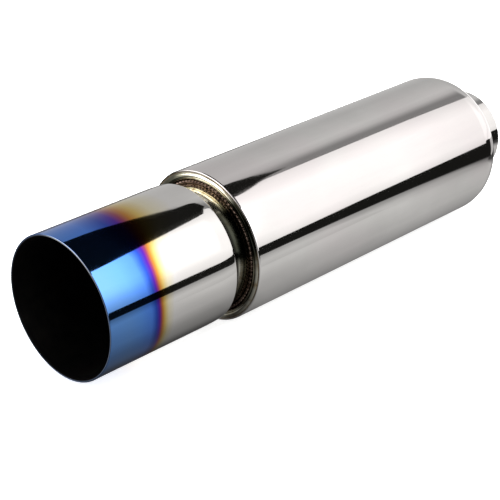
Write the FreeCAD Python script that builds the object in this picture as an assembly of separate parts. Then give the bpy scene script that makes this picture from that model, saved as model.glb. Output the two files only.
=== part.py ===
"""Straight-through car muffler with a heat-coloured outlet tip, built as its sheet-metal pieces, welds and packing.

Every piece but the two long seams and the perforations is turned about one axis. Stations run along that axis in
millimetres from the open end of the outlet tip; the row frame has its origin at the centre of the inlet neck's open
end, +Y out of the inlet and +Z up, so a station is OVERALL_LENGTH more than its Y.
"""

import FreeCAD
import Part
import math
import os

# Driving dimensions
OVERALL_LENGTH = 426.0
TIP_OUTER_R = 50.8            # a 4 inch tip
SHELL_OUTER_R = 55.2
NECK_BORE_R = 32.0            # slips over a 2.5 inch pipe
SHELL_FRONT = 127.6           # station of the shell's outlet edge
SHOULDER_START = 381.8        # station where the body starts to round in towards the inlet
SHOULDER_R = 24.2

# Sheet thicknesses
TIP_WALL = 1.5
CAP_WALL = 1.5
SHELL_WALL = 1.2
NECK_WALL = 1.5
CORE_WALL = 1.5

# Outlet tip: a straight tube whose back first leans in slightly, then is rolled in to a narrower neck
RIM_ROUND = 0.5
TIP_CROWN_START = 97.5
TIP_CROWN_R = 200.0
TIP_ROLL_START = 109.7
TIP_ROLL_R = 4.0
TIP_NECK_R = 45.0

# Outlet end cap: flat plate, valley that holds the tip's weld, and a rolled rim pressed into the shell
PLATE_FRONT = 130.1
PLATE_BACK = PLATE_FRONT + CAP_WALL
CAP_FIT_GAP = 0.05
SHELL_INNER_R = SHELL_OUTER_R - SHELL_WALL
CAP_FLANGE_R = SHELL_INNER_R - CAP_FIT_GAP
RIM_ROLL_R = 3.0
RIM_ROLL_STATION = 129.4
VALLEY_R = 1.5
FLANGE_END = 143.0

# Welds
TIP_BEAD_R = 1.45
RIM_WELD_FRONT = 127.6
RIM_WELD_BACK = 128.9
RIM_WELD_SHELL_TOE = 127.95
RIM_WELD_CROWN = 0.12
RIM_WELD_FLATS = 4
SHELL_EDGE_ROUND = 1.1
ROOT_BEAD_HEIGHT = 0.65
ROOT_BEAD_HALF_WIDTH = 1.2
NECK_WELD_LEG = 2.2
CORE_WELD_LEG = 1.6
CORE_WELD_SETBACK = 0.3       # the core's outlet end shows past its weld
SEAM_WIRE_R = 2.3             # round section that gives the shell's inside seam its crown
SEAM_HEIGHT = 0.7
CORE_SEAM_WIRE_R = 1.5
CORE_SEAM_HEIGHT = 0.5

# Inlet neck and perforated core
NECK_OUTER_R = NECK_BORE_R + NECK_WALL
NECK_INNER_END = 368.0
CORE_OUTER_R = 32.5
CORE_BORE_R = CORE_OUTER_R - CORE_WALL
CORE_FRONT = PLATE_FRONT - 2.0
HOLE_R = 3.0
HOLES_AROUND = 16
HOLE_ROWS = 19
FIRST_HOLE_ROW = 149.0
HOLE_ROW_PITCH = 11.5
SEAM_ANGLE = 270.0            # both long seams lie underneath
SEAM_CLEAR_ANGLE = 12.0       # unpunched strip each side of the core's seam

# Packing
WOOL_INNER_R = CORE_OUTER_R + 0.6
WOOL_OUTER_R = 37.5
WOOL_START = 140.0
WOOL_END = 362.0
TIE_WIRE_R = 0.4
TIE_WIRE_COUNT = 5
TIE_WIRE_END_GAP = 18.0
PACKING_INNER_R = WOOL_OUTER_R + 2 * TIE_WIRE_R + 0.15
PACKING_OUTER_R = 53.0
PACKING_START = 132.2
PACKING_END = 400.0
FLANGE_CLEARANCE = 0.4

AXIS = FreeCAD.Vector(0, 1, 0)
ORIGIN = FreeCAD.Vector(0, 0, 0)


def along(station):
    """The Y of a station."""
    return station - OVERALL_LENGTH


class Outline:
    """A closed outline of lines and arcs in the (radius, station) half plane, turned about the muffler's axis."""

    def __init__(self, radius, station):
        self.start = (radius, station)
        self.here = self.start
        self.edges = []

    @staticmethod
    def _vector(point):
        return FreeCAD.Vector(point[0], along(point[1]), 0)

    def line(self, radius, station):
        target = (radius, station)
        self.edges.append(Part.makeLine(self._vector(self.here), self._vector(target)))
        self.here = target
        return self

    def through(self, middle, end):
        """An arc through middle to end, each a (radius, station)."""
        arc = Part.Arc(self._vector(self.here), self._vector(middle), self._vector(end))
        self.edges.append(arc.toShape())
        self.here = end
        return self

    def turn(self, centre, degrees):
        """An arc about centre, positive from the radius direction towards growing stations."""
        dr = self.here[0] - centre[0]
        ds = self.here[1] - centre[1]

        def swung(angle):
            c, s = math.cos(math.radians(angle)), math.sin(math.radians(angle))
            return (centre[0] + dr * c - ds * s, centre[1] + dr * s + ds * c)

        return self.through(swung(degrees / 2), swung(degrees))

    def solid(self):
        if math.dist(self.here, self.start) > 1e-6:
            self.line(*self.start)
        face = Part.Face(Part.Wire(self.edges))
        turned = face.revolve(ORIGIN, AXIS, 360)
        return turned if turned.Volume > 0 else turned.reversed()


def tube(inner_r, outer_r, start, end):
    return Outline(inner_r, start).line(outer_r, start).line(outer_r, end).line(inner_r, end).solid()


def rod(radius, start, end, z=0.0):
    """A round bar parallel to the axis, at height z."""
    return Part.makeCylinder(radius, end - start, FreeCAD.Vector(0, along(start), z), AXIS)


def outlet_tip():
    crown_centre = (TIP_OUTER_R - TIP_CROWN_R, TIP_CROWN_START)
    lean = math.asin((TIP_ROLL_START - TIP_CROWN_START) / TIP_CROWN_R)
    reach = TIP_CROWN_R - TIP_ROLL_R
    roll_centre = (crown_centre[0] + reach * math.cos(lean), TIP_CROWN_START + reach * math.sin(lean))
    fillet_r = roll_centre[0] - TIP_NECK_R
    fillet_centre = (roll_centre[0], roll_centre[1] + TIP_ROLL_R + fillet_r)
    lean_degrees = math.degrees(lean)
    roll_degrees = 90 - lean_degrees
    inner_r = TIP_OUTER_R - TIP_WALL

    outline = Outline(inner_r + RIM_ROUND, 0.0).line(TIP_OUTER_R - RIM_ROUND, 0.0)
    outline.turn((TIP_OUTER_R - RIM_ROUND, RIM_ROUND), 90).line(TIP_OUTER_R, TIP_CROWN_START)
    outline.turn(crown_centre, lean_degrees).turn(roll_centre, roll_degrees).turn(fillet_centre, -90)
    outline.line(TIP_NECK_R, PLATE_FRONT).line(TIP_NECK_R - TIP_WALL, PLATE_FRONT)
    outline.line(TIP_NECK_R - TIP_WALL, fillet_centre[1]).turn(fillet_centre, 90)
    outline.turn(roll_centre, -roll_degrees).turn(crown_centre, -lean_degrees)
    outline.line(inner_r, RIM_ROUND).turn((inner_r + RIM_ROUND, RIM_ROUND), 90)
    return outline.solid()


def rim_roll_centre():
    return (CAP_FLANGE_R - RIM_ROLL_R, RIM_ROLL_STATION)


def valley_centre():
    """Centre of the end cap's concave valley, whose arc is tangent to the plate and to the rim's roll."""
    roll = rim_roll_centre()
    station = PLATE_FRONT - VALLEY_R
    reach = RIM_ROLL_R + VALLEY_R
    return (roll[0] - math.sqrt(reach**2 - (roll[1] - station) ** 2), station)


def outlet_end_cap():
    roll = rim_roll_centre()
    valley = valley_centre()
    lean = math.degrees(math.atan2(roll[1] - valley[1], roll[0] - valley[0]))
    hole_r = CORE_OUTER_R + CAP_FIT_GAP
    outline = Outline(hole_r, PLATE_FRONT).line(valley[0], PLATE_FRONT)
    outline.turn(valley, lean - 90).turn(roll, 180 - lean)
    outline.line(CAP_FLANGE_R, FLANGE_END).line(CAP_FLANGE_R - CAP_WALL, FLANGE_END)
    outline.line(CAP_FLANGE_R - CAP_WALL, RIM_ROLL_STATION)
    outline.turn(roll, lean - 180).turn(valley, 90 - lean)
    return outline.line(hole_r, PLATE_BACK).solid()


def tip_weld_bead():
    centre = (TIP_NECK_R + TIP_BEAD_R, PLATE_FRONT - TIP_BEAD_R)
    outline = Outline(TIP_NECK_R, centre[1]).line(TIP_NECK_R, PLATE_FRONT).line(centre[0], PLATE_FRONT)
    return outline.turn(centre, -270).solid()


def on_rim_roll(station):
    """Radius of the rim roll's surface at a station in front of its centre."""
    return rim_roll_centre()[0] + math.sqrt(RIM_ROLL_R**2 - (RIM_ROLL_STATION - station) ** 2)


def end_cap_rim_weld():
    """Fills the notch between the shell's edge and the end cap's rolled rim; flats stand in for its shallow curves."""
    outline = Outline(SHELL_INNER_R, RIM_WELD_SHELL_TOE).line(SHELL_INNER_R, RIM_WELD_BACK)
    depth = RIM_WELD_BACK - RIM_WELD_FRONT
    for flat in range(RIM_WELD_FLATS + 1):
        station = RIM_WELD_BACK - depth * flat / RIM_WELD_FLATS
        outline.line(on_rim_roll(station), station)
    crown_r = (SHELL_INNER_R + outline.here[0]) / 2
    crown_station = (RIM_WELD_SHELL_TOE + RIM_WELD_FRONT) / 2 - RIM_WELD_CROWN
    return outline.line(crown_r, crown_station).solid()


def muffler_shell():
    outline = Outline(SHELL_INNER_R, SHELL_FRONT).line(SHELL_OUTER_R - SHELL_EDGE_ROUND, SHELL_FRONT)
    outline.turn((SHELL_OUTER_R - SHELL_EDGE_ROUND, SHELL_FRONT + SHELL_EDGE_ROUND), 90)
    return outline.line(SHELL_OUTER_R, SHOULDER_START).line(SHELL_INNER_R, SHOULDER_START).solid()


def shoulder_angle(surface_r, radius):
    """Degrees round the shoulder from the body to where its surface has come in to radius."""
    return math.degrees(math.acos((radius - (SHELL_OUTER_R - SHOULDER_R)) / surface_r))


def inlet_end_cap():
    centre = (SHELL_OUTER_R - SHOULDER_R, SHOULDER_START)
    inner = SHOULDER_R - SHELL_WALL
    inner_angle = shoulder_angle(inner, NECK_OUTER_R)
    outline = Outline(SHELL_OUTER_R, SHOULDER_START).turn(centre, shoulder_angle(SHOULDER_R, NECK_OUTER_R))
    outline.line(NECK_OUTER_R, SHOULDER_START + inner * math.sin(math.radians(inner_angle)))
    return outline.turn(centre, -inner_angle).solid()


def inlet_cap_weld():
    """Root bead inside the butt joint of shell and inlet end cap; the outside is ground flush."""
    centre = (SHELL_OUTER_R - SHOULDER_R, SHOULDER_START)
    sweep = math.degrees(ROOT_BEAD_HALF_WIDTH / (SHOULDER_R - SHELL_WALL))
    outline = Outline(SHELL_INNER_R, SHOULDER_START - ROOT_BEAD_HALF_WIDTH)
    outline.line(SHELL_INNER_R, SHOULDER_START).turn(centre, sweep)
    return outline.through((SHELL_INNER_R - ROOT_BEAD_HEIGHT, SHOULDER_START), outline.start).solid()


def inlet_neck():
    return tube(NECK_BORE_R, NECK_OUTER_R, NECK_INNER_END, OVERALL_LENGTH)


def inlet_neck_weld():
    """Fillet between the neck and the inlet end cap's outside."""
    centre = (SHELL_OUTER_R - SHOULDER_R, SHOULDER_START)
    root_angle = shoulder_angle(SHOULDER_R, NECK_OUTER_R)
    toe_angle = shoulder_angle(SHOULDER_R, NECK_OUTER_R + NECK_WELD_LEG)
    root = SHOULDER_START + SHOULDER_R * math.sin(math.radians(root_angle))
    outline = Outline(NECK_OUTER_R, root).turn(centre, toe_angle - root_angle)
    crown = (NECK_OUTER_R + 0.8 * NECK_WELD_LEG, root + 0.7 * NECK_WELD_LEG)
    return outline.through(crown, (NECK_OUTER_R, root + NECK_WELD_LEG)).solid()


def fillet_weld(corner_r, corner_station, leg_r, leg_station):
    """A crowned fillet ring in the corner at (corner_r, corner_station); the legs are signed lengths."""
    toe = (corner_r, corner_station + leg_station)
    crown = (corner_r + 0.66 * leg_r, corner_station + 0.66 * leg_station)
    outline = Outline(corner_r, corner_station).line(corner_r + leg_r, corner_station)
    return outline.through(crown, toe).solid()


def core_outlet_weld():
    return fillet_weld(CORE_OUTER_R, PLATE_FRONT, CORE_WELD_LEG, CORE_FRONT + CORE_WELD_SETBACK - PLATE_FRONT)


def core_inlet_weld():
    return fillet_weld(CORE_OUTER_R, NECK_INNER_END, NECK_OUTER_R - CORE_OUTER_R, -CORE_WELD_LEG)


def perforated_core():
    """The gas tube, punched in staggered rings but for a plain strip along its seam."""
    punches = []
    step = 360.0 / HOLES_AROUND
    for row in range(HOLE_ROWS):
        station = FIRST_HOLE_ROW + row * HOLE_ROW_PITCH
        for place in range(HOLES_AROUND):
            angle = (place + 0.5 * (row % 2)) * step
            if abs(angle - SEAM_ANGLE) < SEAM_CLEAR_ANGLE:
                continue
            outward = FreeCAD.Vector(math.cos(math.radians(angle)), 0, math.sin(math.radians(angle)))
            base = outward * (CORE_BORE_R - 1.0) + FreeCAD.Vector(0, along(station), 0)
            punches.append(Part.makeCylinder(HOLE_R, CORE_WALL + 2.0, base, outward))
    return tube(CORE_BORE_R, CORE_OUTER_R, CORE_FRONT, NECK_INNER_END).cut(punches)


def core_seam_weld():
    start = WOOL_START
    wire = rod(CORE_SEAM_WIRE_R, start, WOOL_END, z=-(CORE_OUTER_R + CORE_SEAM_HEIGHT - CORE_SEAM_WIRE_R))
    return wire.cut(rod(CORE_OUTER_R, start - 1, WOOL_END + 1))


def shell_seam_weld():
    """Root bead inside the shell's long butt joint, between the end cap's flange and the inlet cap's weld."""
    start, end = FLANGE_END, SHOULDER_START - ROOT_BEAD_HALF_WIDTH
    wire = rod(SEAM_WIRE_R, start, end, z=-(SHELL_INNER_R - SEAM_HEIGHT + SEAM_WIRE_R))
    return wire.common(rod(SHELL_INNER_R, start - 1, end + 1))


def steel_wool_wrap():
    return tube(WOOL_INNER_R, WOOL_OUTER_R, WOOL_START, WOOL_END)


def wool_tie_wires():
    """Evenly spaced wire rings that hold the wool round the core."""
    first = WOOL_START + TIE_WIRE_END_GAP
    pitch = (WOOL_END - WOOL_START - 2 * TIE_WIRE_END_GAP) / (TIE_WIRE_COUNT - 1)
    ring_r = WOOL_OUTER_R + TIE_WIRE_R + 0.05
    rings = [
        Part.makeTorus(ring_r, TIE_WIRE_R, FreeCAD.Vector(0, along(first + k * pitch), 0), AXIS)
        for k in range(TIE_WIRE_COUNT)
    ]
    return Part.makeCompound(rings)


def glass_fibre_packing():
    """Fills the body between wool and shell, stepped in under the end cap's flange and rounded at the inlet."""
    flange_r = CAP_FLANGE_R - CAP_WALL - FLANGE_CLEARANCE
    step = FLANGE_END + FLANGE_CLEARANCE
    centre = (SHELL_OUTER_R - SHOULDER_R, SHOULDER_START)
    angle = math.degrees(math.asin((PACKING_END - SHOULDER_START) / (PACKING_OUTER_R - centre[0])))
    outline = Outline(PACKING_INNER_R, PACKING_START).line(flange_r, PACKING_START).line(flange_r, step)
    outline.line(PACKING_OUTER_R, step).line(PACKING_OUTER_R, SHOULDER_START).turn(centre, angle)
    return outline.line(PACKING_INNER_R, PACKING_END).solid()


PIECES = [
    outlet_tip,
    tip_weld_bead,
    outlet_end_cap,
    end_cap_rim_weld,
    muffler_shell,
    shell_seam_weld,
    inlet_end_cap,
    inlet_cap_weld,
    inlet_neck,
    inlet_neck_weld,
    perforated_core,
    core_seam_weld,
    core_outlet_weld,
    core_inlet_weld,
    steel_wool_wrap,
    wool_tie_wires,
    glass_fibre_packing,
]


def main():
    os.makedirs("parts", exist_ok=True)
    for make in PIECES:
        shape = make()
        shape.exportStep(os.path.join("parts", make.__name__ + ".step"))
        print(f"{make.__name__}: {len(shape.Solids)} solid(s), {shape.Volume / 1000:.2f} cm3, valid {shape.isValid()}")


main()
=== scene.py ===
import math

import bmesh
import bpy
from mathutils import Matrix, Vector


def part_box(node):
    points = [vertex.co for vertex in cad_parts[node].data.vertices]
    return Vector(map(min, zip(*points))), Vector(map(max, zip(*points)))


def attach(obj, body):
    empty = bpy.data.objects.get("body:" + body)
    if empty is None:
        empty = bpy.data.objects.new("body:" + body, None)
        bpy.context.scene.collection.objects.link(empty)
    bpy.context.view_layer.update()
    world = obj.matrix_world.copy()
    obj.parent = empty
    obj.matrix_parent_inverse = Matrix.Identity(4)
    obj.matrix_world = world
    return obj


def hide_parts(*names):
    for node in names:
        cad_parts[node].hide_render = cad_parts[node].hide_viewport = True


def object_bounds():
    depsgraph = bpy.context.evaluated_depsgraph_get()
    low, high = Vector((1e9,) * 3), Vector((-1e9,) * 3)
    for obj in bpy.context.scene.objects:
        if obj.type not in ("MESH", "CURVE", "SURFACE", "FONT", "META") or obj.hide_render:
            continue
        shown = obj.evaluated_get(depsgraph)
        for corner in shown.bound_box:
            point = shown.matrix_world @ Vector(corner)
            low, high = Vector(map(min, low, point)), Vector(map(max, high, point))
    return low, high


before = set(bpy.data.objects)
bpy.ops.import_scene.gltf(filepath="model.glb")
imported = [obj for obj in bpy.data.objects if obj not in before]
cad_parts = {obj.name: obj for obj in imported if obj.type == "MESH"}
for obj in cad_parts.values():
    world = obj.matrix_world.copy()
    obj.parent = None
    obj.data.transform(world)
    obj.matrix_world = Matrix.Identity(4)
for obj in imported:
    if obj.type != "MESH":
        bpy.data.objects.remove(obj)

CAD_LOW, CAD_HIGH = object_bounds()
MM = 0.001

# Sizes taken from the frame, in millimetres along the axis from the outlet tip's mouth, or as radii
MOUTH_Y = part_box("outlet_tip")[0].y


def station_span(node):
    low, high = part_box(node)
    return (low.y - MOUTH_Y) / MM, (high.y - MOUTH_Y) / MM


def outer_radius(node):
    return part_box(node)[1].x / MM


TIP_R = outer_radius("outlet_tip")
TIP_END = station_span("outlet_tip")[1]
SHELL_R = outer_radius("muffler_shell")
SHELL_FRONT, SHOULDER_START = station_span("muffler_shell")
NECK_R = outer_radius("inlet_neck")
NECK_START, NECK_END = station_span("inlet_neck")
CORE_R = outer_radius("perforated_core")
FLANGE_END = station_span("outlet_end_cap")[1]

# The outlet tip: its wall, the faint crown near its back, the rolled corner and the narrower neck
RIM_ROUND = 0.5
TIP_WALL = 1.5
TIP_CROWN_START, TIP_CROWN_R = 97.5, 200.0
TIP_ROLL_START, TIP_ROLL_R = 109.7, 4.0
TIP_NECK_R = 45.0
TIP_BORE_R = TIP_NECK_R - TIP_WALL

# The outlet end cap: a rolled rim inside the shell, then a valley down to the plate
CAP_WALL = 1.5
FLANGE_R = SHELL_R - 1.25
RIM_ROLL_R = 3.0
RIM_ROLL = (FLANGE_R - RIM_ROLL_R, TIP_END - 0.7)
VALLEY_R = 1.5
HOLE_R = CORE_R + 0.05

# The shell, the rounded-in inlet end and the inlet neck
SHELL_WALL = 1.2
SHELL_EDGE_ROUND = 1.1
SHOULDER_R = 24.2
NECK_WALL = 1.5
NECK_ROUND = 0.2

# Weld beads: section radius, ripples round the axis and ripple depth
TIP_WELD_R, TIP_RIPPLES, TIP_RIPPLE_DEPTH = 1.45, 86, 0.7
NECK_WELD_R, NECK_RIPPLES, NECK_RIPPLE_DEPTH = 1.9, 72, 0.2
NECK_WELD_LIFT = 0.1

AXIS_TURNS = 288
BEAD_ARC_STEPS = 26
BEAD_RIPPLE_STEPS = 14


# ---------------------------------------------------------------- turned pieces

class Profile:
    """Points of a closed (radius, station) outline; every run and arc starts where the last one ended."""

    def __init__(self, radius, station, pitch=4.0):
        self.points = [(radius, station)]
        self.pitch = pitch

    @property
    def here(self):
        return self.points[-1]

    def line(self, radius, station):
        """A straight run, split so that no ring is far from the next and both ends have a close ring."""
        r0, s0 = self.here
        length = math.dist((r0, s0), (radius, station))
        count = max(1, round(length / self.pitch))
        shares = [k / count for k in range(1, count + 1)]
        if length > 1.0:
            shares = sorted(set(shares + [0.25 / length, 1 - 0.25 / length]))
        self.points += [(r0 + (radius - r0) * t, s0 + (station - s0) * t) for t in shares]
        return self

    def turn(self, centre, degrees, steps=10):
        dr, ds = self.here[0] - centre[0], self.here[1] - centre[1]
        for k in range(1, steps + 1):
            a = math.radians(degrees * k / steps)
            c, s = math.cos(a), math.sin(a)
            self.points.append((centre[0] + dr * c - ds * s, centre[1] + dr * s + ds * c))
        return self


def turned(name, rings, sharp_degrees):
    """A closed piece from rings of (radius, station) points, set at equal angles about the Y axis."""
    turns, size = len(rings), len(rings[0])
    verts, faces = [], []
    for i, ring in enumerate(rings):
        angle = 2 * math.pi * i / turns
        verts += [(r * MM * math.cos(angle), MOUTH_Y + s * MM, r * MM * math.sin(angle)) for r, s in ring]
        here, there = i * size, (i + 1) % turns * size
        faces += [(here + k, here + (k + 1) % size, there + (k + 1) % size, there + k) for k in range(size)]
    mesh = bpy.data.meshes.new(name)
    mesh.from_pydata(verts, [], faces)
    mesh.validate()
    bm = bmesh.new()
    bm.from_mesh(mesh)
    bmesh.ops.recalc_face_normals(bm, faces=bm.faces)
    bm.to_mesh(mesh)
    bm.free()
    mesh.shade_smooth()
    mesh.set_sharp_from_angle(angle=math.radians(sharp_degrees))
    piece = bpy.data.objects.new(name, mesh)
    bpy.context.scene.collection.objects.link(piece)
    return piece


def lathe(name, profile):
    """The same outline all the way round."""
    points = list(profile.points)
    if math.dist(points[0], points[-1]) < 1e-6:
        points.pop()
    return turned(name, [points] * AXIS_TURNS, sharp_degrees=38)


def stands_for(piece, node):
    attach(piece, "root")
    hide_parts(node)
    return piece


# ---------------------------------------------------------------- node helpers

class Nodes:
    """Short forms for building one material's node tree."""

    def __init__(self, name):
        self.material = bpy.data.materials.new(name)
        self.material.use_nodes = True
        self.tree = self.material.node_tree
        self.shader = self.tree.nodes["Principled BSDF"]

    def add(self, kind, **settings):
        node = self.tree.nodes.new(kind)
        for key, value in settings.items():
            setattr(node, key, value)
        return node

    def feed(self, target, value):
        if isinstance(value, bpy.types.NodeSocket):
            self.tree.links.new(value, target)
        else:
            target.default_value = value

    def math(self, operation, *values):
        node = self.add("ShaderNodeMath", operation=operation)
        for socket, value in zip(node.inputs, values):
            self.feed(socket, value)
        return node.outputs[0]

    def point(self):
        """The shaded point in the row frame; every piece's object sits at the origin."""
        return self.add("ShaderNodeTexCoord").outputs["Object"]

    def axes(self, vector):
        node = self.add("ShaderNodeSeparateXYZ")
        self.feed(node.inputs[0], vector)
        return tuple(node.outputs)

    def stretched(self, vector, along):
        """The point with its Y scaled, so that a noise read there is drawn out or squeezed along the axis."""
        node = self.add("ShaderNodeMapping")
        node.inputs["Scale"].default_value = (1.0, along, 1.0)
        self.feed(node.inputs[0], vector)
        return node.outputs[0]

    def noise(self, vector, scale, detail=3.0, roughness=0.5):
        node = self.add("ShaderNodeTexNoise")
        self.feed(node.inputs["Vector"], vector)
        self.feed(node.inputs["Scale"], scale)
        self.feed(node.inputs["Detail"], detail)
        self.feed(node.inputs["Roughness"], roughness)
        return node.outputs["Fac"]

    def span(self, value, low, high, to_low=0.0, to_high=1.0, smooth=False):
        node = self.add("ShaderNodeMapRange", clamp=True)
        if smooth:
            node.interpolation_type = "SMOOTHSTEP"
        for socket, number in zip(node.inputs, (value, low, high, to_low, to_high)):
            self.feed(socket, number)
        return node.outputs[0]

    def mix(self, share, a, b, blend_type="MIX"):
        node = self.add("ShaderNodeMix", data_type="RGBA", blend_type=blend_type)
        self.feed(node.inputs[0], share)
        self.feed(node.inputs[6], a)
        self.feed(node.inputs[7], b)
        return node.outputs[2]

    def multiply(self, a, b):
        return self.mix(1.0, a, b, "MULTIPLY")

    def ramp(self, value, stops):
        node = self.add("ShaderNodeValToRGB")
        elements = node.color_ramp.elements
        while len(elements) < len(stops):
            elements.new(0.5)
        for element, (place, colour) in zip(elements, stops):
            element.position = place
            element.color = (*colour, 1.0)
        self.feed(node.inputs[0], value)
        return node.outputs[0]

    def bump(self, height, distance, strength=1.0, normal=None):
        node = self.add("ShaderNodeBump")
        self.feed(node.inputs["Strength"], strength)
        self.feed(node.inputs["Distance"], distance)
        self.feed(node.inputs["Height"], height)
        if normal is not None:
            self.feed(node.inputs["Normal"], normal)
        return node.outputs[0]

    def set(self, **sockets):
        """Principled sockets by name, with underscores for spaces."""
        for key, value in sockets.items():
            self.feed(self.shader.inputs[key.replace("_", " ")], value)
        return self.material


def station(n, y):
    """Millimetres from the mouth."""
    return n.math("DIVIDE", n.math("SUBTRACT", y, MOUTH_Y), MM)


def radius(n, x, z):
    """Millimetres from the axis."""
    squares = n.math("ADD", n.math("MULTIPLY", x, x), n.math("MULTIPLY", z, z))
    return n.math("DIVIDE", n.math("SQRT", squares), MM)


# ---------------------------------------------------------------- materials

STEEL = (0.66, 0.648, 0.634, 1.0)
POLISH = 0.045
SOOT_BLACK = (0.015, 0.014, 0.013, 1.0)
ROLL_SHADE = (0.012, 0.012, 0.010, 1.0)
UNTINTED = (1.0, 1.0, 1.0)

# Stations on the tip: where the heat film turns from blue to straw, and where the groove's weld tint and
# painted reflection begin
FILM_TURN = 42.2
GROOVE_START = 111.2


def polish_roughness(n, vector, base=POLISH):
    """Buffed steel: a faint cloudy variation in how sharp the reflection is."""
    cloud = n.noise(vector, 45.0, 4.0)
    return n.span(cloud, 0.3, 0.7, base * 0.75, base * 1.4)


def polish_bump(n, vector):
    """Long shallow waves with fine grain over them."""
    waves = n.noise(vector, 28.0, 2.0)
    grain = n.noise(vector, 2600.0, 2.0)
    first = n.bump(waves, 0.00006, 0.25)
    return n.bump(grain, 0.0000012, 0.5, first)


def streaks(n, vector):
    """Faint lighter and darker streaks that polishing left along the tube."""
    lines = n.noise(n.stretched(vector, 0.12), 130.0, 4.0, 0.65)
    return n.ramp(lines, [(0.35, (0.975, 0.975, 0.978)), (0.62, UNTINTED)])


def polished_steel():
    """Bright steel with warm clouds and streaks; a dark reflection painted on the left side of the shell's
    open edge.
    """
    n = Nodes("polished_steel")
    vector = n.point()
    x, y, z = n.axes(vector)
    tone = n.span(n.noise(vector, 18.0, 3.0), 0.35, 0.65)
    blush = n.span(n.noise(vector, 11.0, 2.0), 0.45, 0.65)
    colour = n.mix(tone, (0.635, 0.625, 0.612, 1.0), (0.690, 0.680, 0.667, 1.0))
    colour = n.mix(blush, colour, (0.680, 0.648, 0.645, 1.0))
    colour = n.multiply(colour, streaks(n, vector))
    # Painted dark reflection: the shell's open edge is darkened on its left side, chosen by angle.
    lip = n.span(station(n, y), SHELL_FRONT + 0.9, SHELL_FRONT + 1.4, 1.0, 0.0)
    painted_dark_reflection = by_angle(n, around(n, x, z), [
        (-180, (0.12, 0.12, 0.09)),
        (-150, UNTINTED),
        (106, UNTINTED),
        (120, (0.12, 0.12, 0.09)),
    ])
    colour = n.mix(lip, colour, n.multiply(colour, painted_dark_reflection))
    return n.set(
        Base_Color=colour,
        Metallic=1.0,
        Roughness=polish_roughness(n, vector),
        Normal=polish_bump(n, vector),
    )


def heat_coloured_tip():
    """Steel heated at the mouth: the film runs from pale blue through deep blue, purple and straw to bare."""
    n = Nodes("heat_coloured_tip")
    vector = n.point()
    x, y, z = n.axes(vector)
    s = station(n, y)
    r = radius(n, x, z)
    up = n.math("DIVIDE", z, TIP_R * MM)
    wander = n.span(n.noise(vector, 22.0, 2.0), 0.3, 0.7, -0.7, 0.7)
    drift = n.math("ADD", n.span(up, 0.14, 0.65, 0.0, 1.8), n.span(up, 0.65, 1.0, 0.0, 3.6))
    softness = n.math("ADD", n.span(up, 0.1, 0.7, 0.6, 0.9), n.span(up, 0.7, 1.0, 0.0, 1.1, smooth=True))
    middle = n.math("ADD", n.math("ADD", FILM_TURN, drift), wander)
    heat = n.math("DIVIDE", n.math("SUBTRACT", s, middle), softness)
    place = n.span(heat, -44.0, 20.0)
    film = n.ramp(place, [
        (0.00, (0.145, 0.36, 0.86)),
        (0.25, (0.122, 0.34, 0.92)),
        (0.48, (0.09, 0.27, 0.94)),
        (0.59, (0.028, 0.085, 0.55)),
        (0.655, (0.10, 0.02, 0.42)),
        (0.695, (0.34, 0.06, 0.14)),
        (0.735, (0.62, 0.26, 0.04)),
        (0.79, (0.84, 0.62, 0.20)),
        (0.87, (0.96, 0.90, 0.66)),
        (1.00, UNTINTED),
    ])
    outside = n.multiply(n.multiply(film, STEEL), streaks(n, vector))
    # The groove takes weld oxide with painted reflection by side.
    groove = n.span(s, GROOVE_START, GROOVE_START + 1.0, smooth=True)
    outside = n.mix(groove, outside, groove_oxide_and_painted_reflection(n, x, z, vector))
    # Painted shade: the roll and the start of the neck are darkened nearly to black, except near the top.
    past_start = n.span(s, GROOVE_START, GROOVE_START + 0.8)
    on_roll = n.math("MULTIPLY", past_start, n.span(s, 113.6, 115.6, 1.0, 0.0))
    on_neck = n.math("MULTIPLY", n.span(s, 113.0, 115.0), n.span(s, 117.0, 118.2, 1.0, 0.0))
    below_top = n.span(z, 0.030, 0.040, 0.9, 0.0)
    rolled = n.math("MULTIPLY", n.math("MAXIMUM", on_roll, on_neck), below_top)
    outside = n.mix(rolled, outside, ROLL_SHADE)
    # The mouth's rim: dark blue film at the sides, with a pale painted highlight across the top.
    rim_film_and_painted_highlight = by_angle(n, around(n, x, z), [
        (-40, (0.09, 0.13, 0.22)),
        (35, (0.12, 0.16, 0.26)),
        (60, (0.50, 0.52, 0.56)),
        (88, (0.46, 0.50, 0.55)),
        (108, (0.06, 0.09, 0.16)),
    ])
    outside = n.mix(n.span(s, 0.04, 0.14, 1.0, 0.0), outside, rim_film_and_painted_highlight)
    skin = n.span(r, TIP_R - 1.25, TIP_R - 1.0)
    neck_skin = n.math("MULTIPLY", n.span(s, 106.0, 108.0), n.span(r, TIP_NECK_R - 0.8, TIP_NECK_R - 0.5))
    shown = n.math("MAXIMUM", skin, neck_skin)
    soot = n.ramp(n.noise(vector, 90.0, 4.0), [(0.3, (0.010, 0.010, 0.011)), (0.7, (0.020, 0.018, 0.017))])
    colour = n.mix(shown, soot, outside)
    sooty = n.math("MULTIPLY", n.math("SUBTRACT", 1.0, shown), 0.5)
    dull = n.math("ADD", sooty, n.span(s, 115.0, 117.0, 0.0, 0.08))
    roughness = n.math("ADD", polish_roughness(n, vector), dull)
    return n.set(Base_Color=colour, Metallic=1.0, Roughness=roughness, Normal=polish_bump(n, vector))


def around(n, x, z, wander=0.0):
    """Degrees round the axis from +X through up, made uneven by wander."""
    return n.math("ADD", n.math("MULTIPLY", n.math("ARCTAN2", z, x), 180 / math.pi), wander)


def by_angle(n, angle, stops):
    """A ramp whose stops are placed in degrees."""
    places = [((degrees + 180) / 360, colour) for degrees, colour in stops]
    return n.ramp(n.span(angle, -180.0, 180.0), places)


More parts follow.
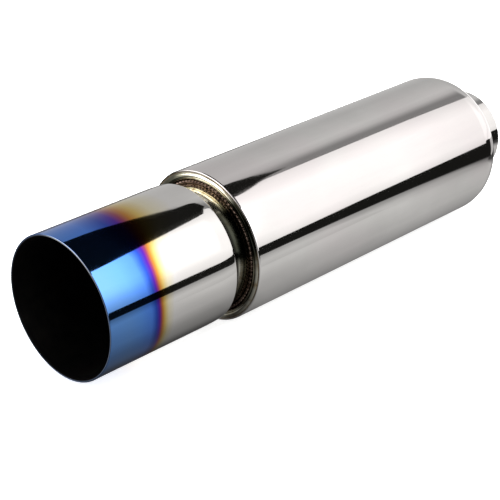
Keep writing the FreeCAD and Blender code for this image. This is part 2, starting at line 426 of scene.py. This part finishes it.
def groove_oxide_and_painted_reflection(n, x, z, vector):
    """Oxide left by welding, with painted reflection by side: cream and gold at the upper left, nearly black
    at the right, grey underneath.
    """
    wander = n.span(n.noise(vector, 30.0, 2.0), 0.3, 0.7, -5.0, 5.0)
    # Painted reflection by side: bright at the upper left, nearly black at the right, grey underneath.
    side = by_angle(n, around(n, x, z, wander), [
        (-180, (0.05, 0.055, 0.04)),
        (-140, (0.26, 0.25, 0.20)),
        (4, (0.36, 0.35, 0.30)),
        (16, (0.040, 0.045, 0.035)),
        (54, (0.045, 0.045, 0.032)),
        (63, (0.62, 0.60, 0.49)),
        (74, (0.93, 0.90, 0.77)),
        (102, (0.97, 0.95, 0.83)),
        (112, (0.50, 0.48, 0.36)),
        (122, (0.11, 0.11, 0.08)),
        (146, (0.05, 0.055, 0.04)),
    ])
    patch = n.ramp(n.noise(vector, 110.0, 4.0, 0.6), [(0.30, (0.62, 0.50, 0.36)), (0.50, UNTINTED)])
    return n.multiply(side, patch)


def end_cap_steel():
    """Polished steel tinted by welding, with painted reflection by side; dull and sooty inside the tip's
    neck.
    """
    n = Nodes("end_cap_steel")
    vector = n.point()
    x, _, z = n.axes(vector)
    inside = n.span(radius(n, x, z), TIP_BORE_R - 0.1, TIP_BORE_R + 0.3, 1.0, 0.0)
    colour = n.mix(inside, groove_oxide_and_painted_reflection(n, x, z, vector), SOOT_BLACK)
    roughness = n.math("ADD", polish_roughness(n, vector, 0.07), n.math("MULTIPLY", inside, 0.5))
    return n.set(Base_Color=colour, Metallic=1.0, Roughness=roughness, Normal=polish_bump(n, vector))


def weld_bead(name, dark, light, under=None):
    """Laid weld metal in dark and light patches; under, when given, is painted shade on its lower side."""
    n = Nodes(name)
    vector = n.point()
    patch = n.ramp(n.noise(vector, 120.0, 3.0, 0.6), [(0.3, dark), (0.7, light)])
    if under:
        x, _, z = n.axes(vector)
        # Painted shade: the colour given as under darkens the bead's lower side.
        patch = n.multiply(patch, by_angle(n, around(n, x, z), [(12, under), (20, UNTINTED)]))
    speck = n.noise(vector, 1400.0, 2.0)
    return n.set(
        Base_Color=patch,
        Metallic=1.0,
        Roughness=n.span(speck, 0.3, 0.7, 0.10, 0.22),
        Specular_Tint=(0.5, 0.5, 0.5, 1.0),
        Normal=n.bump(speck, 0.00002, 0.5),
    )


def core_steel():
    """Dull brown-grey steel, darkened by heat."""
    n = Nodes("core_steel")
    vector = n.point()
    tone = n.ramp(n.noise(vector, 70.0, 4.0, 0.6), [(0.3, (0.10, 0.09, 0.085)), (0.7, (0.20, 0.185, 0.17))])
    grain = n.noise(vector, 900.0, 3.0)
    return n.set(
        Base_Color=tone,
        Metallic=1.0,
        Roughness=n.span(grain, 0.3, 0.7, 0.32, 0.5),
        Normal=n.bump(grain, 0.00003, 0.4),
    )


def wool(name, dark, light, scale, stretch):
    """Packed fibres, lying mostly round the core."""
    n = Nodes(name)
    strands = n.noise(n.stretched(n.point(), stretch), scale, 6.0, 0.7)
    tone = n.ramp(strands, [(0.35, dark), (0.65, light)])
    return n.set(Base_Color=tone, Roughness=0.85, Normal=n.bump(strands, 0.0006, 0.8))


def emitter(name, colour, strength):
    """A card's own glow, which each point's "glow" scales."""
    material = bpy.data.materials.new(name)
    material.use_nodes = True
    tree = material.node_tree
    tree.nodes.clear()
    share = tree.nodes.new("ShaderNodeAttribute")
    share.attribute_name = "glow"
    scaled = tree.nodes.new("ShaderNodeMath")
    scaled.operation = "MULTIPLY"
    scaled.inputs[1].default_value = strength
    glow = tree.nodes.new("ShaderNodeEmission")
    glow.inputs["Color"].default_value = (*colour, 1.0)
    output = tree.nodes.new("ShaderNodeOutputMaterial")
    tree.links.new(share.outputs["Fac"], scaled.inputs[0])
    tree.links.new(scaled.outputs[0], glow.inputs["Strength"])
    tree.links.new(glow.outputs[0], output.inputs[0])
    return material


# ---------------------------------------------------------------- the muffler's visible pieces

def outlet_tip():
    crown = (TIP_R - TIP_CROWN_R, TIP_CROWN_START)
    lean = math.asin((TIP_ROLL_START - TIP_CROWN_START) / TIP_CROWN_R)
    reach = TIP_CROWN_R - TIP_ROLL_R
    roll = (crown[0] + reach * math.cos(lean), TIP_CROWN_START + reach * math.sin(lean))
    fillet = (roll[0], roll[1] + TIP_ROLL_R + roll[0] - TIP_NECK_R)
    lean = math.degrees(lean)
    inner = TIP_R - TIP_WALL
    profile = Profile(inner + RIM_ROUND, 0.0).line(TIP_R - RIM_ROUND, 0.0)
    profile.turn((TIP_R - RIM_ROUND, RIM_ROUND), 90, 5).line(TIP_R, TIP_CROWN_START)
    profile.turn(crown, lean, 8).turn(roll, 90 - lean, 16).turn(fillet, -90, 8)
    profile.line(TIP_NECK_R, TIP_END).line(TIP_BORE_R, TIP_END)
    profile.line(TIP_BORE_R, fillet[1]).turn(fillet, 90, 8)
    profile.turn(roll, lean - 90, 12).turn(crown, -lean, 6)
    profile.line(inner, RIM_ROUND).turn((inner + RIM_ROUND, RIM_ROUND), 90, 5)
    return stands_for(lathe("outlet_tip_turned", profile), "outlet_tip")


def outlet_end_cap():
    valley_s = TIP_END - VALLEY_R
    apart = math.sqrt((RIM_ROLL_R + VALLEY_R) ** 2 - (RIM_ROLL[1] - valley_s) ** 2)
    valley = (RIM_ROLL[0] - apart, valley_s)
    lean = math.degrees(math.atan2(RIM_ROLL[1] - valley[1], RIM_ROLL[0] - valley[0]))
    profile = Profile(HOLE_R, TIP_END).line(valley[0], TIP_END)
    profile.turn(valley, lean - 90, 10).turn(RIM_ROLL, 180 - lean, 20)
    profile.line(FLANGE_R, FLANGE_END).line(FLANGE_R - CAP_WALL, FLANGE_END)
    profile.line(FLANGE_R - CAP_WALL, RIM_ROLL[1])
    profile.turn(RIM_ROLL, lean - 180, 14).turn(valley, 90 - lean, 10)
    profile.line(HOLE_R, TIP_END + CAP_WALL).line(HOLE_R, TIP_END)
    return stands_for(lathe("outlet_end_cap_spun", profile), "outlet_end_cap")


def muffler_shell():
    inner = SHELL_R - SHELL_WALL
    profile = Profile(inner, SHELL_FRONT).line(SHELL_R - SHELL_EDGE_ROUND, SHELL_FRONT)
    profile.turn((SHELL_R - SHELL_EDGE_ROUND, SHELL_FRONT + SHELL_EDGE_ROUND), 90, 10)
    profile.line(SHELL_R, SHOULDER_START).line(inner, SHOULDER_START).line(inner, SHELL_FRONT)
    return stands_for(lathe("muffler_shell_rolled", profile), "muffler_shell")


def inlet_end_cap():
    centre = (SHELL_R - SHOULDER_R, SHOULDER_START)
    inner = SHOULDER_R - SHELL_WALL
    outer_turn = math.degrees(math.acos((NECK_R - centre[0]) / SHOULDER_R))
    inner_turn = math.degrees(math.acos((NECK_R - centre[0]) / inner))
    profile = Profile(SHELL_R, SHOULDER_START).turn(centre, outer_turn, 40)
    profile.line(NECK_R, SHOULDER_START + inner * math.sin(math.radians(inner_turn)))
    profile.turn(centre, -inner_turn, 24).line(SHELL_R, SHOULDER_START)
    return stands_for(lathe("inlet_end_cap_spun", profile), "inlet_end_cap")


def inlet_neck():
    bore = NECK_R - NECK_WALL
    round_s = NECK_END - NECK_ROUND
    profile = Profile(bore, NECK_START).line(NECK_R, NECK_START).line(NECK_R, round_s)
    profile.turn((NECK_R - NECK_ROUND, round_s), 90, 4).line(bore + NECK_ROUND, NECK_END)
    profile.turn((bore + NECK_ROUND, round_s), 90, 4).line(bore, NECK_START)
    return stands_for(lathe("inlet_neck_tube", profile), "inlet_neck")


def bead(name, centre, section_r, start, sweep, ripples, depth, node):
    """A laid bead: its section is an arc about centre, and overlapping ripples run round it."""
    rings = []
    turns = ripples * BEAD_RIPPLE_STEPS
    for i in range(turns):
        angle = 2 * math.pi * i / turns
        wander = 0.10 * math.sin(3 * angle + 1.0) + 0.07 * math.sin(11 * angle)
        ring = []
        for k in range(BEAD_ARC_STEPS + 1):
            across = 2 * k / BEAD_ARC_STEPS - 1
            a = math.radians(start + sweep * k / BEAD_ARC_STEPS)
            phase = ripples * angle / (2 * math.pi) + 0.55 * across * across
            scallop = abs(math.sin(math.pi * (phase + wander))) ** 0.7
            fade = 1 - across ** 6
            reach = section_r - depth * fade * (1 - scallop)
            ring.append((centre[0] + reach * math.cos(a), centre[1] + reach * math.sin(a)))
        rings.append(ring + [centre])
    return stands_for(turned(name, rings, sharp_degrees=60), node)


def tip_weld():
    centre = (TIP_NECK_R + TIP_WELD_R, TIP_END - TIP_WELD_R)
    return bead(
        "tip_weld_rippled", centre, TIP_WELD_R, 90, -270, TIP_RIPPLES, TIP_RIPPLE_DEPTH, "tip_weld_bead"
    )


def neck_weld():
    centre = (NECK_R + NECK_WELD_LIFT, SHOULDER_START + SHOULDER_R * 0.995 + NECK_WELD_LIFT)
    return bead(
        "neck_weld_rippled", centre, NECK_WELD_R, -15, 110, NECK_RIPPLES, NECK_RIPPLE_DEPTH, "inlet_neck_weld"
    )


def cover(piece, material):
    piece.data.materials.clear()
    piece.data.materials.append(material)


def build_object():
    steel = polished_steel()
    cover(outlet_tip(), heat_coloured_tip())
    cover(outlet_end_cap(), end_cap_steel())
    cover(muffler_shell(), steel)
    cover(inlet_end_cap(), steel)
    cover(inlet_neck(), steel)
    cover(tip_weld(), weld_bead("tip_weld_metal", (0.035, 0.016, 0.011), (0.30, 0.22, 0.18)))
    # The neck weld gets painted shade on its lower side.
    grey_bead = weld_bead("neck_weld_metal", (0.36, 0.35, 0.33), (0.50, 0.49, 0.47), under=(0.16, 0.16, 0.16))
    cover(neck_weld(), grey_bead)
    small_weld = weld_bead("small_weld_metal", (0.20, 0.14, 0.08), (0.42, 0.34, 0.22))
    steel_wool = wool("steel_wool", (0.10, 0.10, 0.10), (0.42, 0.42, 0.43), 500.0, 3.0)
    glass_fibre = wool("glass_fibre", (0.55, 0.50, 0.36), (0.90, 0.87, 0.76), 260.0, 2.0)
    for material, nodes in (
        (small_weld, ("end_cap_rim_weld", "shell_seam_weld", "inlet_cap_weld")),
        (small_weld, ("core_seam_weld", "core_outlet_weld", "core_inlet_weld")),
        (core_steel(), ("perforated_core", "wool_tie_wires")),
        (steel_wool, ("steel_wool_wrap",)),
        (glass_fibre, ("glass_fibre_packing",)),
    ):
        for node in nodes:
            cover(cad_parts[node], material)


# ---------------------------------------------------------------- studio

# Metres, in the same frame: the sheets stand round the muffler's axis, and their ends lie along it
FLOOR_Z = CAD_LOW.z
TENT_R = 1.6
TENT_NEAR, TENT_END = -1.2, 9.0
LEFT_PANEL_R = 2.4
NEAR_WALL_R = 2.6
WARM_WHITE = (1.0, 0.98, 0.97)
SHADE = (1.0, 1.0, 0.9)
SHADE_GLOW = 0.012
TABLE_END = 0.15


def graded(value, *stops):
    """Straight lines through (value, result) stops, flat beyond both ends."""
    if value <= stops[0][0]:
        return stops[0][1]
    for (low, start), (high, end) in zip(stops, stops[1:]):
        if value <= high:
            return start + (end - start) * (value - low) / (high - low)
    return stops[-1][1]


def only_in_reflections(card):
    card.visible_camera = False
    card.visible_diffuse = False
    card.visible_transmission = False
    card.visible_volume_scatter = False
    card.visible_shadow = False
    return card


def sheet(name, rows, material, glow=None):
    """A card from rows of points, joined row to row; glow(row, column) scales its light at each point."""
    mesh = bpy.data.meshes.new(name)
    width = len(rows[0])
    faces = [
        (i * width + k, i * width + k + 1, (i + 1) * width + k + 1, (i + 1) * width + k)
        for i in range(len(rows) - 1)
        for k in range(width - 1)
    ]
    mesh.from_pydata([tuple(p) for row in rows for p in row], [], faces)
    mesh.materials.append(material)
    shares = mesh.attributes.new("glow", "FLOAT", "POINT")
    for place, share in enumerate(shares.data):
        share.value = glow(*divmod(place, width)) if glow else 1.0
    card = bpy.data.objects.new(name, mesh)
    bpy.context.scene.collection.objects.link(card)
    return card


def steps(low, high, count):
    return [low + (high - low) * k / count for k in range(count + 1)]


def round_axis(distance, degrees, y):
    """A point at that distance from the muffler's axis; 0 degrees is +X and 90 is up."""
    a = math.radians(degrees)
    return (distance * math.cos(a), y, distance * math.sin(a))


def key_bottom(y):
    """Degrees round the axis of the key panel's lower edge."""
    return graded(y, (1.05, 0.0), (1.35, 1.3), (1.75, 1.4), (1.95, 3.9), (2.3, 3.5), (3.2, -2.0))


def key_top(y):
    """Degrees round the axis of the key panel's upper edge."""
    return graded(y, (0.95, 98.0), (1.05, 88.2), (1.55, 88.0), (1.75, 85.6), (2.3, 90.5), (3.0, 98.5),
                  (4.0, 112.0), (4.7, 128.0), (5.1, 190.0))


def key_panel():
    """The big white sheet that stands right of the muffler and arches over it, brightest halfway up."""
    lengths = steps(-1.0, 2.2, 64) + steps(2.4, TENT_END, 22)
    shares = steps(0.0, 1.0, 60)
    angles = [[key_bottom(y) + (key_top(y) - key_bottom(y)) * t for y in lengths] for t in shares]
    rows = [[round_axis(TENT_R, a, y) for a, y in zip(row, lengths)] for row in angles]

    def glow(row, column):
        a, y = angles[row][column], lengths[column]
        front = graded(a, (0, 1.15), (3, 1.25), (13, 1.90), (25, 2.9), (34, 3.3), (72, 3.3), (80, 2.2),
                       (90, 1.5))
        middle = graded(a, (0, 1.15), (3, 1.25), (13, 1.45), (25, 1.9), (34, 2.2), (60, 2.0), (74, 1.35),
                        (90, 1.1))
        back = graded(a, (0, 1.15), (5, 1.30), (15, 1.50), (60, 1.60), (76, 1.38), (88, 1.20))
        tip = graded(y, (0.69, front), (0.80, middle))
        return graded(y, (0.93, tip), (1.02, back), (1.50, back), (1.75, back * 0.88), (2.1, back))

    return only_in_reflections(sheet("key_panel", rows, emitter("key_glow", WARM_WHITE, 1.0), glow))


def ceiling():
    """Everything above and left of the key panel, seen in reflections; darkest along the panel's edge."""
    lengths = steps(TENT_NEAR, TENT_END, 24)
    angles = steps(74.0, 230.0, 78)
    rows = [[round_axis(TENT_R + 0.15, a, y) for y in lengths] for a in angles]

    def glow(row, column):
        a, y = angles[row], lengths[column]
        beside = graded(a, (90, 0.30), (97, 0.30), (107, 0.65), (116, 0.74), (136, 0.64), (158, 0.56),
                        (176, 0.58), (200, 0.60))
        return graded(y, (0.9, 0.62), (1.05, beside))

    return only_in_reflections(sheet("ceiling", rows, emitter("ceiling_glow", (1.0, 0.99, 0.98), 1.0), glow))


def overhead_flag():
    """A dark card overhead, tapering away from the camera to a narrow nose."""
    lengths = steps(TENT_NEAR, 1.06, 90)

    def right(y):
        return graded(y, (0.40, 59.0), (0.58, 66.0), (0.72, 73.0), (0.83, 79.3), (0.93, 80.6), (0.975, 85.5),
                      (1.01, 90.5), (1.06, 93.0))

    def left(y):
        return graded(y, (0.45, 131.0), (0.60, 128.0), (0.70, 118.0), (0.79, 106.5), (0.93, 105.0),
                      (0.985, 101.0), (1.03, 95.5), (1.06, 94.0))

    rows = [[round_axis(TENT_R - 0.1, a, y) for a in steps(right(y), left(y), 16)] for y in lengths]

    def glow(row, column):
        right_edge = graded(lengths[row], (0.6, 1.0), (0.8, 4.0))
        return graded(column, (0, right_edge), (4, 1.0))

    return only_in_reflections(sheet("overhead_flag", rows, emitter("flag_black", SHADE, SHADE_GLOW), glow))


def horizon_flag():
    """The dark gap between the table's edge and the key panel."""
    rows = [[(TENT_R + 0.3, y, z) for y in (-2.0, TENT_END)] for z in (-2.2, 0.35)]
    return only_in_reflections(sheet("horizon_flag", rows, emitter("gap_black", SHADE, SHADE_GLOW)))


def camera_side_flag():
    """A dark wall behind and right of the camera, which the groove's front faces mirror."""
    turns = [math.radians(a) for a in steps(-88.0, -12.0, 24)]
    rows = [[(NEAR_WALL_R * math.cos(a), NEAR_WALL_R * math.sin(a), z) for a in turns] for z in (-0.6, 1.6)]
    return only_in_reflections(sheet("camera_side_flag", rows, emitter("wall_black", SHADE, 0.03)))


def table_edge(y):
    """How far the table reaches to the right at y; its far corner is rounded."""
    return graded(y, (-0.057, 0.38), (-0.052, 0.340), (0.0, 0.335), (0.05, 0.318), (0.08, 0.294),
                  (0.10, 0.266), (0.125, 0.235), (TABLE_END, 0.19))


def table_glow(x, y):
    """The table's light, with the muffler's shadow painted in: weak close in under the muffler, weakest under
    the tip, fading to its far corner.
    """
    tip = graded(x, (0.0, 0.8), (0.02, 0.07), (0.028, 0.07), (0.042, 0.215), (0.057, 0.30), (0.082, 0.52),
                 (0.128, 0.65), (0.20, 0.76), (0.31, 0.50))
    tip *= graded(y, (-0.40, 0.88), (-0.34, 1.0))
    front = graded(x, (0.028, 0.22), (0.045, 0.35), (0.061, 0.46), (0.084, 0.55), (0.13, 0.75), (0.18, 0.82),
                   (0.23, 0.64))
    rear = graded(x, (0.028, 0.27), (0.045, 0.47), (0.061, 0.61), (0.084, 0.68), (0.13, 0.78), (0.18, 0.78),
                  (0.23, 0.62))
    body = graded(y, (-0.25, front), (-0.08, rear))
    level = graded(y, (-0.30, tip), (-0.26, body)) if x < 0.15 else graded(y, (-0.057, tip), (-0.052, body))
    corner = graded(x, (0.08, 1.0), (0.15, graded(y, (-0.06, 1.0), (0.11, 0.50))))
    softness = graded(y, (-0.06, 0.025), (-0.02, 0.010), (0.09, 0.05))
    edge = graded(table_edge(y) - x, (0.0, 0.06), (softness, 1.0))
    under_neck = graded(y, (0.080, 1.0), (0.115, 0.12))
    corner_end = graded(TABLE_END - y, (0.0, 0.06), (0.07, 1.0))
    end = graded(x, (0.14, under_neck), (0.17, corner_end))
    return level * corner * edge * end


def table_top():
    """The grey table that the underside mirrors: a glowing card with the muffler's shadow painted into its
    glow.
    """
    z = FLOOR_Z + 0.0002
    lengths = steps(-3.0, -0.5, 4) + steps(-0.45, TABLE_END, 120)
    shares = [-3.0, -0.5] + steps(-0.1, 1.0, 110)
    across = [[s if s < 0 else s * table_edge(y) for s in shares] for y in lengths]
    rows = [[(x, y, z) for x in row] for row, y in zip(across, lengths)]

    def glow(row, column):
        return table_glow(across[row][column], lengths[row])

    light = emitter("table_light", (1.0, 0.99, 0.975), 1.0)
    return only_in_reflections(sheet("table_top", rows, light, glow))


def far_table():
    """The white beyond the table's far end on the left, which only the inlet end's shoulder mirrors."""
    def left(y):
        return -0.14 - 0.45 * (y - TABLE_END)

    def right(y):
        return (y - 0.27) / 1.9

    rows = [[(left(y), y, FLOOR_Z), (right(y), y, FLOOR_Z)] for y in (TABLE_END, 1.0, 3.0, TENT_END - 0.1)]
    return only_in_reflections(sheet("far_table", rows, emitter("far_table_light", WARM_WHITE, 1.35)))


def left_panel():
    """A bright sheet ahead of the muffler on its left, which the groove and the shell's edge mirror."""
    turns = [math.radians(a) for a in steps(152.0, 258.0, 22)]
    rows = [
        [(
            LEFT_PANEL_R * math.cos(a) * math.cos(e),
            LEFT_PANEL_R * math.sin(a) * math.cos(e),
            LEFT_PANEL_R * math.sin(e),
        ) for a in turns]
        for e in (math.radians(elevation) for elevation in steps(-5.0, 75.0, 16))
    ]
    return only_in_reflections(sheet("left_panel", rows, emitter("left_glow", WARM_WHITE, 2.5)))


def far_end():
    """Closes the tent behind the inlet with an even white."""
    rows = [[(x, TENT_END - 0.1, z) for x in steps(-2.0, 2.0, 4)] for z in (0.05, 3.0)]
    return only_in_reflections(sheet("far_end", rows, emitter("far_glow", WARM_WHITE, 1.4)))


def floor():
    """The plain white ground, which the camera sees and the steel doesn't mirror."""
    white = bpy.data.materials.new("floor_white")
    white.use_nodes = True
    sockets = white.node_tree.nodes["Principled BSDF"].inputs
    sockets["Base Color"].default_value = (0.93, 0.93, 0.93, 1.0)
    sockets["Roughness"].default_value = 0.9
    sockets["Emission Color"].default_value = (1.0, 1.0, 1.0, 1.0)
    sockets["Emission Strength"].default_value = 0.72
    far = 6.0
    ground = sheet("floor", [[(x, y, FLOOR_Z) for x in (-far, far)] for y in (-far, far)], white)
    ground.visible_glossy = False


def lights():
    """A pale even sky, and two soft lamps that the steel doesn't mirror."""
    world = bpy.data.worlds.new("studio")
    world.use_nodes = True
    background = world.node_tree.nodes["Background"]
    background.inputs["Color"].default_value = (1.0, 0.985, 0.97, 1.0)
    background.inputs["Strength"].default_value = 0.62
    bpy.context.scene.world = world
    for name, place, size, power in (
        ("overhead_soft", (0.2, -0.4, 2.2), 2.6, 95.0),
        ("front_soft", (1.4, -2.0, 1.4), 1.6, 30.0),
    ):
        data = bpy.data.lights.new(name, "AREA")
        data.shape = "SQUARE"
        data.size = size
        data.energy = power
        lamp = bpy.data.objects.new(name, data)
        lamp.location = place
        aim = Vector((0.0, -0.2, 0.0)) - lamp.location
        lamp.rotation_euler = aim.to_track_quat("-Z", "Y").to_euler()
        lamp.visible_glossy = False
        bpy.context.scene.collection.objects.link(lamp)


def camera():
    """Ahead of the outlet, right and above, with a long lens."""
    azimuth, elevation = math.radians(44.566), math.radians(26.62)
    aim = Vector((0.0, -0.2520, -0.0198))
    distance = 1.0759
    data = bpy.data.cameras.new("camera")
    data.sensor_width = 36.0
    data.lens = 107.52
    data.clip_start = 0.05
    data.clip_end = 60.0
    back = Vector((
        math.sin(azimuth) * math.cos(elevation),
        -math.cos(azimuth) * math.cos(elevation),
        math.sin(elevation),
    ))
    seat = bpy.data.objects.new("camera", data)
    seat.location = aim + back * distance
    seat.rotation_euler = (-back).to_track_quat("-Z", "Y").to_euler()
    bpy.context.scene.collection.objects.link(seat)
    bpy.context.scene.camera = seat


build_object()
key_panel()
ceiling()
overhead_flag()
horizon_flag()
camera_side_flag()
left_panel()
far_end()
table_top()
far_table()
floor()
lights()
camera()
bpy.context.scene.view_settings.view_transform = "Standard"
